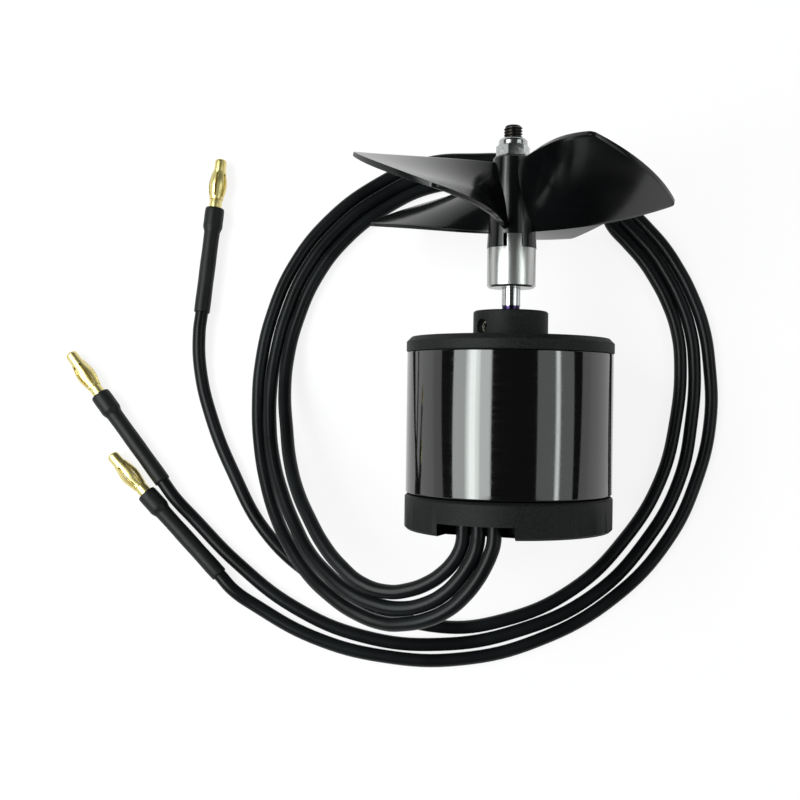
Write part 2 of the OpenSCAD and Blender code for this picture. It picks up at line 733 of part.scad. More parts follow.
// The propeller: a tapered hub, slotted for the tongue, and helical blades
module propeller() {
  edge = 0.6;
  color("#141416") lie_down() difference() {
    union() {
      rotate_extrude() polygon([
        [0, hub_bottom], [hub_d / 2, hub_bottom], [hub_top_d / 2, hub_top - edge], [hub_top_d / 2 - edge, hub_top],
        [0, hub_top]
      ]);
      for (k = [0 : blade_count - 1])
        rotate([0, 0, prop_turn + k * 360 / blade_count]) skin([for (r = blade_stations) blade_loop(r)]);
    }
    translate([0, 0, hub_bottom - past]) cylinder(r = stud_r + slack, h = hub_h + 2 * past);
    translate([-hub_slot_w / 2, -hub_d, hub_bottom - past]) cube([hub_slot_w, 2 * hub_d, tongue_h + slack + past]);
  }
}

// The threaded stud that carries the propeller
module prop_stud() {
  lead_in = 0.5;
  color("#3a3a3c") lie_down() rotate_extrude() polygon([
    [0, shaft_top], [stud_r, shaft_top], [stud_r, stud_top - lead_in], [stud_r - lead_in, stud_top], [0, stud_top]
  ]);
}

// The lock nut: a hexagon with its corners turned off, and a collar round the nylon insert
module lock_nut() {
  corner_r = nut_af / 2 / cos(30);
  bevel = 0.5;
  crimp = 0.4;
  hex_top = hub_top + nut_hex_h;
  color("#c4c6c8") lie_down() difference() {
    union() {
      intersection() {
        translate([0, 0, hub_top]) cylinder(r = corner_r, h = nut_hex_h, $fn = 6);
        rotate_extrude() polygon([
          [0, hub_top], [corner_r - bevel, hub_top], [corner_r, hub_top + bevel / 2], [corner_r, hex_top - bevel / 2],
          [corner_r - bevel, hex_top], [0, hex_top]
        ]);
      }
      rotate_extrude() polygon([
        [0, hex_top - past], [nut_collar_d / 2, hex_top - past], [nut_collar_d / 2, nut_top - 2 * crimp],
        [nut_collar_d / 2 - crimp, nut_top - crimp / 2], [nut_collar_d / 2 - 2 * crimp, nut_top], [0, nut_top]
      ]);
    }
    translate([0, 0, hub_top - past]) cylinder(r = stud_r + fit, h = nut_top);
    translate([0, 0, hex_top]) cylinder(d = insert_d + 2 * fit, h = nut_top);
  }
}

// The nylon ring that grips the stud
module nylon_insert() {
  hex_top = hub_top + nut_hex_h;
  color("#3f6fae") lie_down() ring(stud_r + fit, insert_d / 2, hex_top, nut_top - slack);
}

// Phase leads, from the base to their plugs
module phase_lead(i) {
  line = smooth(lead_lines[i]);
  color("#17171a") skin([for (k = [0 : len(line) - 1]) tube_ring(line, k)]);
}

// Sets a piece that is drawn along +Z on the surface, where the sleeve of lead i starts
module along_sleeve(i) {
  translate(sleeve_spot(i, 0)) rotate([0, 90, sleeve_heading[i]]) children();
}

// Shrunk sleeve, narrow over the lead and wider over the plug's cup
module heat_shrink(i) {
  bore_r = lead_r + slack;
  cup_r = plug_cup_r + fit;
  wide = sleeve_l - sleeve_cup_l;
  color("#111113") along_sleeve(i) rotate_extrude() polygon([
    [bore_r, 0], [sleeve_d / 2, 0], [sleeve_d / 2, wide - sleeve_step], [sleeve_cup_d / 2, wide],
    [sleeve_cup_d / 2, sleeve_l], [cup_r, sleeve_l], [cup_r, lead_in_sleeve], [bore_r, lead_in_sleeve]
  ]);
}

// Bullet plug: solder cup, stem, slit spring cage and nose
module bullet_plug(i) {
  stem_end = sleeve_l + plug_stem_l;
  cage_end = stem_end + plug_cage_l;
  nose_end = cage_end + plug_nose_l;
  belly_r = plug_cage_d / 2;
  neck_step = 0.2;
  neck_r = plug_stem_d / 2 + neck_step;
  slit_w = 0.5;
  nose_bevel = [0.7, 0.8];
  color("#d9a640") along_sleeve(i) difference() {
    rotate_extrude() polygon([
      [0, lead_in_sleeve], [plug_cup_r, lead_in_sleeve], [plug_cup_r, sleeve_l], [plug_stem_d / 2, sleeve_l],
      [plug_stem_d / 2, stem_end], [neck_r, stem_end], [neck_r, stem_end + 0.1 * plug_cage_l],
      [0.9 * belly_r, stem_end + 0.25 * plug_cage_l], [belly_r, stem_end + 0.5 * plug_cage_l],
      [0.9 * belly_r, stem_end + 0.75 * plug_cage_l], [neck_r, stem_end + 0.9 * plug_cage_l], [neck_r, cage_end],
      [plug_nose_d / 2, cage_end], [plug_nose_d / 2, nose_end - nose_bevel[1]],
      [plug_nose_d / 2 - nose_bevel[0], nose_end],
      [0, nose_end]
    ]);
    for (k = [0 : plug_slits - 1])
      rotate([0, 0, k * 360 / plug_slits])
        translate([neck_r, -slit_w / 2, stem_end + 0.12 * plug_cage_l]) cube([belly_r, slit_w, 0.76 * plug_cage_l]);
  }
}

module phase_lead_a() {
  phase_lead(0);
}

module phase_lead_b() {
  phase_lead(1);
}

module phase_lead_c() {
  phase_lead(2);
}

module heat_shrink_a() {
  heat_shrink(0);
}

module heat_shrink_b() {
  heat_shrink(1);
}

module heat_shrink_c() {
  heat_shrink(2);
}

module bullet_plug_a() {
  bullet_plug(0);
}

module bullet_plug_b() {
  bullet_plug(1);
}

module bullet_plug_c() {
  bullet_plug(2);
}

base();
stator_core();
windings();
lower_outer_race();
upper_outer_race();
rotor_can();
magnets();
end_cap();
cap_grub_screws();
shaft();
lower_inner_race();
upper_inner_race();
lower_ball_set();
upper_ball_set();
bearing_spacer();
retaining_ring();
drive_dog();
dog_grub_screw();
propeller();
prop_stud();
lock_nut();
nylon_insert();
phase_lead_a();
phase_lead_b();
phase_lead_c();
heat_shrink_a();
heat_shrink_b();
heat_shrink_c();
bullet_plug_a();
bullet_plug_b();
bullet_plug_c();
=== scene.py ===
"""Looks of the underwater thruster: an outrunner motor with its propeller and three phase leads.

The motor lies on its side on a pale floor, on the rim of its base and a corner of a blade.
"""

import math

import bpy
from mathutils import Matrix, Vector


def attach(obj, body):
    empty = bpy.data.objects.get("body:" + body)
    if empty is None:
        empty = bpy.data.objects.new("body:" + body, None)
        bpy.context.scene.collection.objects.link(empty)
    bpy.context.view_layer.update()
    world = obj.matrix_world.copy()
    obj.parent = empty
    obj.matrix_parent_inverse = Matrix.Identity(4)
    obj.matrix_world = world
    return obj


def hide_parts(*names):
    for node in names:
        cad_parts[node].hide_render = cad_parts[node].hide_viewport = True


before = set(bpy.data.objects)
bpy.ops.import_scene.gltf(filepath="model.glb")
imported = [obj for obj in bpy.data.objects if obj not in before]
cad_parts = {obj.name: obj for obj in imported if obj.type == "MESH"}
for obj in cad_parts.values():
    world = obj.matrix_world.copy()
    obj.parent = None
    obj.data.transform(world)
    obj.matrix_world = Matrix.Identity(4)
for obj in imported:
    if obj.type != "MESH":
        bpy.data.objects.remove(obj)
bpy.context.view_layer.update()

# The motor is modelled standing on its mounting face, along z, and is then laid down
MM = 0.001
TILT = math.radians(8.15618)
FLOOR_Z = -27.2852 * MM
LAY_DOWN = Matrix.Rotation(TILT - math.pi / 2, 4, "X")
STAND_UP = (math.pi / 2 - TILT, 0, 0)


def laid(x, y, along):
    """A point of the standing motor, in millimetres, as a point in metres of the motor lying down."""
    return LAY_DOWN @ Vector((x, y, along)) * MM


def turned(angle):
    """A turn round the standing motor's axis, in degrees."""
    return Matrix.Rotation(math.radians(angle), 4, "Z")


# Camera: square to the motor's axis, a little turned, with the motor right of the picture's middle
CAMERA_SPOT = (-15.0, -298.0, 34.24)
CAMERA_ROLL = 0.8
SENSOR_WIDTH = 36.0
PIXELS_TO_THE_FOCUS = 1116.0
PICTURE = 800.0
AXIS_PIXEL = (453.43, 399.21)

camera_data = bpy.data.cameras.new("camera")
camera_data.sensor_width = SENSOR_WIDTH
camera_data.lens = SENSOR_WIDTH * PIXELS_TO_THE_FOCUS / PICTURE
camera_data.shift_x = (PICTURE / 2 - AXIS_PIXEL[0]) / PICTURE
camera_data.shift_y = (AXIS_PIXEL[1] - PICTURE / 2) / PICTURE
camera_data.clip_start = 0.01
camera = bpy.data.objects.new("camera", camera_data)
bpy.context.scene.collection.objects.link(camera)
camera.matrix_world = (
    Matrix.Translation(laid(*CAMERA_SPOT)) @ Matrix.Rotation(TILT, 4, "X") @ turned(CAMERA_ROLL)
)
bpy.context.scene.camera = camera


# Modelling by hand: helpers that keep the selection clean
def clear_selection():
    if bpy.context.object and bpy.context.object.mode != "OBJECT":
        bpy.ops.object.mode_set(mode="OBJECT")
    bpy.ops.object.select_all(action="DESELECT")


def take(piece):
    clear_selection()
    piece.select_set(True)
    bpy.context.view_layer.objects.active = piece


def named(name):
    piece = bpy.context.object
    piece.name = name
    piece.data.name = name
    return piece


def copied(piece):
    """A copy of a piece, with its own mesh."""
    take(piece)
    bpy.ops.object.duplicate()
    return bpy.context.object


def join(piece, others):
    take(piece)
    for other in others:
        other.select_set(True)
    bpy.ops.object.join()


def edit_all():
    bpy.ops.object.mode_set(mode="EDIT")
    bpy.ops.mesh.select_all(action="SELECT")


def close_mesh(piece, merge=True, inside=False):
    """Merges doubles and turns every face outwards, or inwards for a piece seen from inside."""
    take(piece)
    edit_all()
    if merge:
        bpy.ops.mesh.remove_doubles(threshold=MM / 1000)
    bpy.ops.mesh.normals_make_consistent(inside=inside)
    bpy.ops.object.mode_set(mode="OBJECT")


def modify(piece, kind, **settings):
    """Adds a modifier and applies it."""
    take(piece)
    modifier = piece.modifiers.new(kind.title(), kind)
    for name, value in settings.items():
        setattr(modifier, name, value)
    bpy.ops.object.modifier_apply(modifier=modifier.name)


def round_edges(piece, width, angle, segments):
    """Rounds the edges that are sharper than an angle."""
    modify(piece, "BEVEL", width=width * MM, segments=segments, limit_method="ANGLE",
           angle_limit=math.radians(angle), use_clamp_overlap=True, harden_normals=False)


def cut(piece, cutter, operation="DIFFERENCE"):
    modify(piece, "BOOLEAN", operation=operation, object=cutter, solver="EXACT")
    bpy.data.objects.remove(cutter)


def smooth(piece, angle):
    take(piece)
    bpy.ops.object.shade_smooth_by_angle(angle=math.radians(angle))


def place(piece, matrix):
    """Turns and moves a piece to its place and keeps that in its mesh."""
    take(piece)
    piece.matrix_world = matrix @ piece.matrix_world
    bpy.ops.object.transform_apply(location=True, rotation=True, scale=True)
    return piece


def draw_line(name, profile):
    """Draws a corner of a plane out along (radius, height) points, and leaves it in edit mode."""
    clear_selection()
    bpy.ops.mesh.primitive_plane_add(size=MM)
    piece = named(name)
    edit_all()
    bpy.ops.mesh.merge(type="CENTER")
    radius, height = profile[0]
    bpy.ops.transform.translate(value=(radius * MM, 0, height * MM))
    for (r0, h0), (r1, h1) in zip(profile, profile[1:]):
        step = ((r1 - r0) * MM, 0, (h1 - h0) * MM)
        bpy.ops.mesh.extrude_region_move(TRANSFORM_OT_translate={"value": step})
    return piece


def turn_on_lathe(name, profile, steps):
    """A turned piece: a line along the profile, spun round the z axis."""
    piece = draw_line(name, profile)
    bpy.ops.mesh.select_all(action="SELECT")
    bpy.ops.mesh.spin(steps=steps, angle=2 * math.pi, center=(0, 0, 0), axis=(0, 0, 1))
    bpy.ops.object.mode_set(mode="OBJECT")
    close_mesh(piece)
    return piece


def rod(name, radius, bottom, top, sides, matrix=None):
    """A straight rod between two heights, used to drill or to join."""
    clear_selection()
    bpy.ops.mesh.primitive_cylinder_add(
        vertices=sides, radius=radius * MM, depth=(top - bottom) * MM,
        location=(0, 0, (bottom + top) / 2 * MM))
    return place(named(name), matrix or Matrix.Identity(4))


def block(name, low, high, matrix):
    """A block between two corners, used to mill a slot."""
    clear_selection()
    bpy.ops.mesh.primitive_cube_add(
        size=1, location=[(a + b) / 2 * MM for a, b in zip(low, high)],
        scale=[(b - a) * MM for a, b in zip(low, high)])
    return place(named(name), matrix)


def spoke(angle, height):
    """Lays a rod's z axis along a radius of the motor."""
    return (turned(angle) @ Matrix.Translation((0, 0, height * MM))
            @ Matrix.Rotation(math.pi / 2, 4, "Y"))


# Materials
def linear(colour):
    """An sRGB hex colour as linear red, green, blue and alpha."""
    parts = [int(colour[i:i + 2], 16) / 255 for i in (1, 3, 5)]
    return [c / 12.92 if c <= 0.04045 else ((c + 0.055) / 1.055) ** 2.4 for c in parts] + [1.0]


def connect(tree, node, links):
    """Links a node's inputs to (node, output) pairs."""
    for name, (source, output) in links.items():
        tree.links.new(source.outputs[output], node.inputs[name])


def add_node(tree, kind, settings=None, links=None):
    """Adds a node, sets its properties, sockets and colour stops, and links its inputs."""
    made = tree.nodes.new(kind)
    for name, value in (settings or {}).items():
        if name == "stops":
            elements = made.color_ramp.elements
            for k, (position, colour) in enumerate(value):
                stop = elements[k] if k < len(elements) else elements.new(position)
                stop.position = position
                stop.color = linear(colour)
        elif isinstance(name, int) or name in made.inputs:
            made.inputs[name].default_value = value
        else:
            setattr(made, name, value)
    connect(tree, made, links or {})
    return made


def start_material(name, settings):
    """An empty material with its shader, its output and the object's own coordinates."""
    made = bpy.data.materials.new(name)
    made.use_nodes = True
    tree = made.node_tree
    tree.nodes.clear()
    shader = add_node(tree, "ShaderNodeBsdfPrincipled", settings)
    add_node(tree, "ShaderNodeOutputMaterial", links={"Surface": (shader, "BSDF")})
    return made, tree, shader, add_node(tree, "ShaderNodeTexCoord")


def dress(tree, shader, stain, stops, roughness, relief, strength, depth):
    """Gives a shader its colour and roughness from one pattern, and its relief from another.

    The stops are (position, colour) pairs, and the relief's depth is in millimetres.
    """
    colour = add_node(tree, "ShaderNodeValToRGB", {"stops": stops}, {"Fac": (stain, "Fac")})
    rough = add_node(tree, "ShaderNodeMapRange", roughness, {"Value": (stain, "Fac")})
    bump = add_node(tree, "ShaderNodeBump", {"Strength": strength, "Distance": depth * MM},
                    {"Height": (relief, "Fac")})
    connect(tree, shader, {"Base Color": (colour, "Color"), "Roughness": (rough, "Result"),
                           "Normal": (bump, "Normal")})
    return colour


def per_metre(millimetres):
    """Scale of a noise pattern whose features are this wide."""
    return 1 / (millimetres * MM)


def waves(millimetres):
    """Scale of a wave pattern with this spacing."""
    return math.pi / 10 / (millimetres * MM)


def blasted_anodised_aluminium():
    """Aluminium, bead blasted and anodised black: dull, with a fine glitter where light strikes it."""
    made, tree, shader, spot = start_material("blasted_black_anodised_aluminium",
                                              {"Specular IOR Level": 0.12})
    # The grit is 0.1 mm on the real part and is drawn at 0.4 mm so that it shows
    grit = add_node(tree, "ShaderNodeTexNoise",
                    {"Scale": per_metre(0.4), "Detail": 3, "Roughness": 0.7},
                    {"Vector": (spot, "Object")})
    dress(tree, shader, grit, ((0.38, "#090a0a"), (0.68, "#1b1e1d")),
          {"To Min": 0.42, "To Max": 0.62}, grit, 0.8, 0.12)
    return made


def polished_black_can():
    """Steel can, turned, polished and coated black: a dark mirror with faint marks round it."""
    made, tree, shader, spot = start_material("polished_black_coated_steel", {"IOR": 1.68})
    stand = add_node(tree, "ShaderNodeMapping", {"Rotation": STAND_UP}, {"Vector": (spot, "Object")})
    # Turning marks are 0.05 mm apart and are drawn at 0.4 mm, 7 mm long
    stretch = add_node(tree, "ShaderNodeMapping", {"Scale": (1, 1, 18)}, {"Vector": (stand, "Vector")})
    marks = add_node(tree, "ShaderNodeTexNoise",
                     {"Scale": per_metre(7), "Detail": 4, "Roughness": 0.6},
                     {"Vector": (stretch, "Vector")})
    dress(tree, shader, marks, ((0, "#030303"), (1, "#070708")),
          {"From Min": 0.3, "From Max": 0.7, "To Min": 0.03, "To Max": 0.12}, marks, 0.05, 0.02)
    return made


def turned_aluminium():
    """Bare aluminium off the lathe: bright, with fine rings that draw reflections out along the axis."""
    made, tree, shader, spot = start_material("turned_bare_aluminium", {"Metallic": 1.0})
    stand = add_node(tree, "ShaderNodeMapping", {"Rotation": STAND_UP}, {"Vector": (spot, "Object")})
    # The feed marks are 0.08 mm apart and are drawn at 0.3 mm so that they show
    rings = add_node(tree, "ShaderNodeTexWave",
                     {"wave_type": "BANDS", "bands_direction": "Z", "Scale": waves(0.3),
                      "Distortion": 1.5, "Detail": 2, "Detail Scale": 3},
                     {"Vector": (stand, "Vector")})
    # Drawing streaks, 1.2 mm wide and 20 mm long
    streak = add_node(tree, "ShaderNodeMapping", {"Scale": (1, 1, 0.06)}, {"Vector": (stand, "Vector")})
    stain = add_node(tree, "ShaderNodeTexNoise", {"Scale": per_metre(1.2), "Detail": 3},
                     {"Vector": (streak, "Vector")})
    dress(tree, shader, stain, ((0, "#969795"), (1, "#d0d1d0")),
          {"To Min": 0.24, "To Max": 0.36}, rings, 0.3, 0.02)
    return made


def ground_steel(name, band=None):
    """Hardened steel, ground: a clear mirror with a fine grain round it, violet where it was heated."""
    made, tree, shader, spot = start_material(name, {"Metallic": 1.0})
    stand = add_node(tree, "ShaderNodeMapping", {"Rotation": STAND_UP}, {"Vector": (spot, "Object")})
    # Grinding grain is under 0.02 mm and is drawn at 0.2 mm, 5 mm long
    stretch = add_node(tree, "ShaderNodeMapping", {"Scale": (1, 1, 25)}, {"Vector": (stand, "Vector")})
    grain = add_node(tree, "ShaderNodeTexNoise", {"Scale": per_metre(5), "Detail": 4},
                     {"Vector": (stretch, "Vector")})
    colour = dress(tree, shader, grain, ((0, "#a9abad"), (1, "#d4d6d8")),
                   {"To Min": 0.08, "To Max": 0.2}, grain, 0.06, 0.02)
    if band:
        low, high = band
        beyond = 2
        height = add_node(tree, "ShaderNodeSeparateXYZ", {}, {"Vector": (stand, "Vector")})
        share = add_node(tree, "ShaderNodeMapRange",
                         {"From Min": (low - beyond) * MM, "From Max": (high + beyond) * MM},
                         {"Value": (height, "Z")})
        start = beyond / (high - low + 2 * beyond)
        end = 1 - start
        tint = add_node(tree, "ShaderNodeValToRGB", {"stops": (
            (start - 0.02, "#ffffff"), (start, "#33264a"), (end - 0.08, "#3a2b55"),
            (end, "#6b5a86"), (end + 0.03, "#ffffff"))}, {"Fac": (share, "Result")})
        mixed = add_node(tree, "ShaderNodeMix",
                         {"data_type": "RGBA", "blend_type": "MULTIPLY", 0: 1.0},
                         {6: (colour, "Color"), 7: (tint, "Color")})
        connect(tree, shader, {"Base Color": (mixed, 2)})
    return made


def moulded_nylon():
    """Glass-filled nylon, injection moulded black: glossy, with a very slight flow mottle."""
    made, tree, shader, spot = start_material("moulded_black_nylon", {"Specular IOR Level": 0.28})
    # Flow marks are 14 mm wide, and the skin's ripple is 0.7 mm
    flow = add_node(tree, "ShaderNodeTexNoise",
                    {"Scale": per_metre(14), "Detail": 3, "Distortion": 0.8},
                    {"Vector": (spot, "Object")})
    fine = add_node(tree, "ShaderNodeTexNoise", {"Scale": per_metre(0.7), "Detail": 2},
                    {"Vector": (spot, "Object")})
    dress(tree, shader, flow, ((0, "#060607"), (1, "#101112")),
          {"To Min": 0.12, "To Max": 0.24}, fine, 0.04, 0.05)
    return made


def plated_metal(name, dark, light, roughness, patch_size=0.6, relief=0.1):
    """Metal with a thin finish, such as bright zinc or black oxide: a sheen that is a little uneven."""
    made, tree, shader, spot = start_material(name, {"Metallic": 1.0})
    # The finish is uneven in patches, 0.6 mm wide on a small screw
    patch = add_node(tree, "ShaderNodeTexNoise",
                     {"Scale": per_metre(patch_size), "Detail": 4, "Roughness": 0.65},
                     {"Vector": (spot, "Object")})
    dress(tree, shader, patch, ((0.3, dark), (0.7, light)),
          {"To Min": roughness - 0.06, "To Max": roughness + 0.08}, patch, relief, 0.03)
    return made


def rubber(name, dark, light, roughness, grain, gloss):
    """Rubber, shrunk plastic or a plain nylon ring: a soft sheen over a fine uneven skin."""
    made, tree, shader, spot = start_material(name, {"Specular IOR Level": gloss})
    skin = add_node(tree, "ShaderNodeTexNoise",
                    {"Scale": per_metre(grain), "Detail": 4, "Roughness": 0.6},
                    {"Vector": (spot, "Object")})
    # Handling leaves dull patches about 18 mm wide
    dust = add_node(tree, "ShaderNodeTexNoise", {"Scale": per_metre(18), "Detail": 3},
                    {"Vector": (spot, "Object")})
    dress(tree, shader, dust, ((0.3, dark), (0.75, light)),
          {"To Min": roughness - 0.05, "To Max": roughness + 0.08}, skin, 0.12, 0.06)
    return made


def striped(name, spacing, dark, light, metallic, roughness):
    """Stacked sheets or laid wire: fine lines across the shaft, dark at the joints, with a painted
    highlight on each edge.
    """
    made, tree, shader, spot = start_material(name, {"Metallic": metallic, "Roughness": roughness})
    stand = add_node(tree, "ShaderNodeMapping", {"Rotation": STAND_UP}, {"Vector": (spot, "Object")})
    lines = add_node(tree, "ShaderNodeTexWave",
                     {"wave_type": "BANDS", "bands_direction": "Z", "Scale": waves(spacing),
                      "Distortion": 0.6, "Detail": 2, "Detail Scale": 2},
                     {"Vector": (stand, "Vector")})
    # The colour runs from dark to light across each line: its light side is a painted highlight on the
    # line's edge
    colour = add_node(tree, "ShaderNodeValToRGB", {"stops": ((0, dark), (1, light))},
                      {"Fac": (lines, "Fac")})
    bump = add_node(tree, "ShaderNodeBump", {"Strength": 0.5, "Distance": 0.1 * MM},
                    {"Height": (lines, "Fac")})
    connect(tree, shader, {"Base Color": (colour, "Color"), "Normal": (bump, "Normal")})
    return made


# Sizes of the motor, in millimetres, as the solids have them
FIT = 0.02
BASE_R = 27.65
BASE_H = 9.1
BASE_FLOOR = 5.8
POCKET_ANGLE = -111.0
POCKET_DEPTH = 3.2
CAN_R = 27.45
CAN_BOTTOM = 9.5
CAN_TOP = 46.7
CAN_WALL = 2.2
CAN_BORE = CAN_R - CAN_WALL
CAP_TOP = 50.6
BOSS_R = 10.0
BOSS_TOP = 57.8
CAP_GRUB_R = 2.0
CAP_GRUB_L = 6.0
CAP_GRUB_ANGLE = -143.0
CAP_GRUB_LEVEL = 53.4
SHAFT_R = 2.5
SHAFT_BORE = SHAFT_R + FIT
SHAFT_TOP = 69.6
RELIEF_TOP = BOSS_TOP + 1.5
DOG_R = 6.5
DOG_BOTTOM = 64.1
DOG_TOP = 74.5
TONGUE_TOP = 77.9
DOG_GRUB_R = 1.5
DOG_GRUB_L = 3.7
DOG_GRUB_ANGLE = 90.0
DOG_GRUB_LEVEL = 66.85
HUB_BOTTOM = 74.5
HUB_TOP = 99.0
HEXAGON_TOP = HUB_TOP + 3
NUT_TOP = 103.9
NUT_TURN = -20.0
INSERT_R = 2.88
STUD_TOP = 107.4

# The finishes: names, dark and light colours, roughness and the size of the pattern
blasted = blasted_anodised_aluminium()
can_black = polished_black_can()
bare_aluminium = turned_aluminium()
shaft_steel = ground_steel("ground_hardened_steel", (BOSS_TOP, RELIEF_TOP))
race_steel = ground_steel("ground_bearing_steel")
nylon = moulded_nylon()
zinc = plated_metal("bright_zinc_plated_steel", "#9a9d9c", "#c2c5c4", 0.18, 0.9, 0.3)
black_oxide = plated_metal("black_oxide_steel", "#2b2a28", "#55524e", 0.32)
grub_steel = plated_metal("bright_screw_steel", "#8a8883", "#c4c1ba", 0.22)
gold = plated_metal("gold_plated_brass", "#dcca7c", "#ece0a2", 0.36, 4, 0.02)
brass_cage = plated_metal("pressed_brass_cage", "#a8813c", "#d3af62", 0.3)
nickel = plated_metal("nickel_plated_magnet", "#8b8e90", "#b4b7b8", 0.3)
spring_steel = plated_metal("phosphated_spring_steel", "#2a2927", "#4a4844", 0.42)
insert_nylon = rubber("white_nylon_insert", "#c9cac4", "#e2e2dc", 0.42, 0.8, 0.4)
silicone = rubber("black_silicone_rubber", "#0b0c0d", "#16181a", 0.28, 0.5, 0.12)
shrink = rubber("black_shrunk_polyolefin", "#0c0d0e", "#1a1c1d", 0.46, 1.2, 0.2)
laminations = striped("laminated_silicon_steel", 0.5, "#3a3837", "#77736f", 0.9, 0.45)
copper = striped("enamelled_copper_wire", 0.7, "#4a2310", "#a8602f", 0.7, 0.35)

# The leads' routes: x, y and height above the floor in millimetres, from the base to the sleeve
ROUTES = [
    [(-12.2, -4.3, 43.4), (-13, -6.7, 42.9), (-14.6, -9.3, 42.2), (-17.3, -12.1, 41.2),
     (-20.9, -14.5, 40), (-25.7, -16.3, 38.5), (-31.1, -16.9, 36.8), (-38, -15, 34.5),
     (-44, -10.5, 31.5), (-49, -5, 28), (-53.5, 2, 24), (-57.5, 9.5, 19.5), (-60.5, 18, 15),
     (-62.5, 28, 10.5), (-64, 39, 6.5), (-63.8, 50, 3.6), (-61.6, 61.2, 2.1), (-56.4, 74.4, 1.9),
     (-47.9, 86.3, 1.9), (-35.4, 96.6, 1.9), (-22, 103, 1.9), (-8, 104.2, 1.9), (7, 104.3, 1.9),
     (18.5, 104, 1.9), (25.7, 101.6, 1.9), (29.8, 96.4, 1.9), (32.2, 91.4, 1.9), (36.4, 86.6, 1.9),
     (41.2, 81, 1.9), (45, 75, 1.9), (48.2, 68.6, 1.9), (51, 60, 1.9), (52, 50, 1.9),
     (50.4, 33, 1.9), (45.5, 15, 1.9), (35, -2, 1.9), (20, -16.5, 1.9), (0, -25.5, 1.9),
     (-18, -27.5, 1.9), (-38, -22, 1.9), (-55, -13.5, 1.9), (-69, -1, 1.9), (-79, 16, 1.9),
     (-86, 32, 1.9), (-89.8, 46, 2.1)],
    [(-8.6, -5, 45.2), (-9.4, -7.7, 44.7), (-10.9, -10.5, 44), (-13.2, -13.7, 43),
     (-16.4, -16.9, 41.8), (-21.1, -19.6, 40.2), (-27.4, -21, 37.8), (-35, -20, 34.5),
     (-42, -17, 31), (-48, -12.5, 27), (-53.5, -7, 22.5), (-58, 0, 18), (-62.5, 9, 13.5),
     (-66, 19, 9.5), (-68, 30, 6), (-68.5, 41, 3.5), (-67.5, 52, 2.1), (-65.3, 62.2, 1.9),
     (-59.8, 76.2, 1.9), (-50.7, 88.9, 1.9), (-37.5, 99.8, 1.9), (-22.9, 106.7, 1.9), (-8, 108, 1.9),
     (6.9, 108.1, 1.9), (19, 107.8, 1.9), (27.9, 104.7, 1.9), (33.2, 98.1, 1.9), (35.5, 93.4, 1.9),
     (39.1, 89.3, 1.9), (44.3, 83.3, 1.9), (48.3, 76.9, 1.9), (51.7, 70.1, 1.9), (54.9, 60.6, 1.9),
     (56.1, 50, 1.9), (55, 33, 1.9), (51, 15, 1.9), (41.5, -2, 1.9), (26, -18, 1.9),
     (4, -28.5, 1.9), (-18, -32.5, 1.9), (-40, -30.5, 1.9), (-60, -22.5, 1.9), (-77, -10, 1.9),
     (-89.6, 2.2, 2.1)],
    [(-4.6, -5, 46.8), (-5.4, -7.5, 46.5), (-6.6, -10.2, 46), (-8.6, -13.7, 45.2),
     (-11.6, -17.5, 44), (-15.6, -21, 42.3), (-21.2, -23.7, 40), (-26.8, -24.9, 37.3),
     (-32, -25, 34.5), (-40, -22.5, 30.5), (-47.5, -18, 26), (-54, -12.5, 21), (-59.5, -5.5, 16.5),
     (-64, 2, 12), (-68, 12, 8), (-71, 24, 4.5), (-72.3, 36, 2.4), (-72, 48, 1.9), (-69.1, 63.2, 1.9),
     (-63.2, 78.1, 1.9), (-53.5, 91.6, 1.9), (-39.6, 103.1, 1.9), (-23.9, 110.5, 1.9),
     (-8, 111.9, 1.9), (6.9, 112, 1.9), (19.5, 111.7, 1.9), (30.2, 107.9, 1.9), (36.7, 99.8, 1.9),
     (38.8, 95.5, 1.9), (41.9, 92, 1.9), (47.4, 85.6, 1.9), (51.7, 78.8, 1.9), (55.3, 71.6, 1.9),
     (58.9, 61.2, 1.9), (60.5, 50, 1.9), (60.5, 33, 1.9), (56, 15, 1.9), (47.5, -2, 1.9),
     (32, -18.5, 1.9), (10, -31, 1.9), (-12, -36.5, 1.9), (-34, -36, 1.9), (-54, -31, 1.9),
     (-71.2, -22.1, 2.1)],
]
LETTERS = "abc"
LEAD_D = 3.7
LEAD_TOUCH = 0.04
LEAD_EXIT_R = 20.5
LEAD_EXIT_ANGLE = -114.0
LEAD_EXIT_STEP = 11.8
LEAD_LIP = 0.5
LEAD_RUN_UP = 6.0
LEAD_IN_SLEEVE = 25.0
SLEEVE_STARTS = [(-90, 63), (-99, 12.8), (-81.4, -13.7)]
SLEEVE_HEADINGS = [85.5, 128, 134]
SLEEVE_HEIGHT = 2.9
SLEEVE_L = 32.0
SLEEVE_R = 2.3
SLEEVE_CUP_R = 2.85
SLEEVE_CUP_L = 5.5
PLUG_STEM_L = 2.8
PLUG_CAGE_L = 8.7
PLUG_NOSE_L = 3.9
PLUG_SLITS = 6
PLUG_TURN = 0.35


def lead_hole(i):
    """Where a lead's hole goes through the base, across the axis, in millimetres."""
    angle = math.radians(LEAD_EXIT_ANGLE + (i - 1) * LEAD_EXIT_STEP)
    return LEAD_EXIT_R * math.cos(angle), LEAD_EXIT_R * math.sin(angle)


def lead_exit(i, along):
    return laid(*lead_hole(i), along)


def above_floor(x, y, height):
    """A point in metres, from millimetres and a height above the floor."""
    return Vector((x * MM, y * MM, FLOOR_Z + height * MM))


def sleeve_spot(i, along):
    angle = math.radians(SLEEVE_HEADINGS[i])
    x, y = SLEEVE_STARTS[i]
    return above_floor(x + along * math.cos(angle), y + along * math.sin(angle), SLEEVE_HEIGHT)


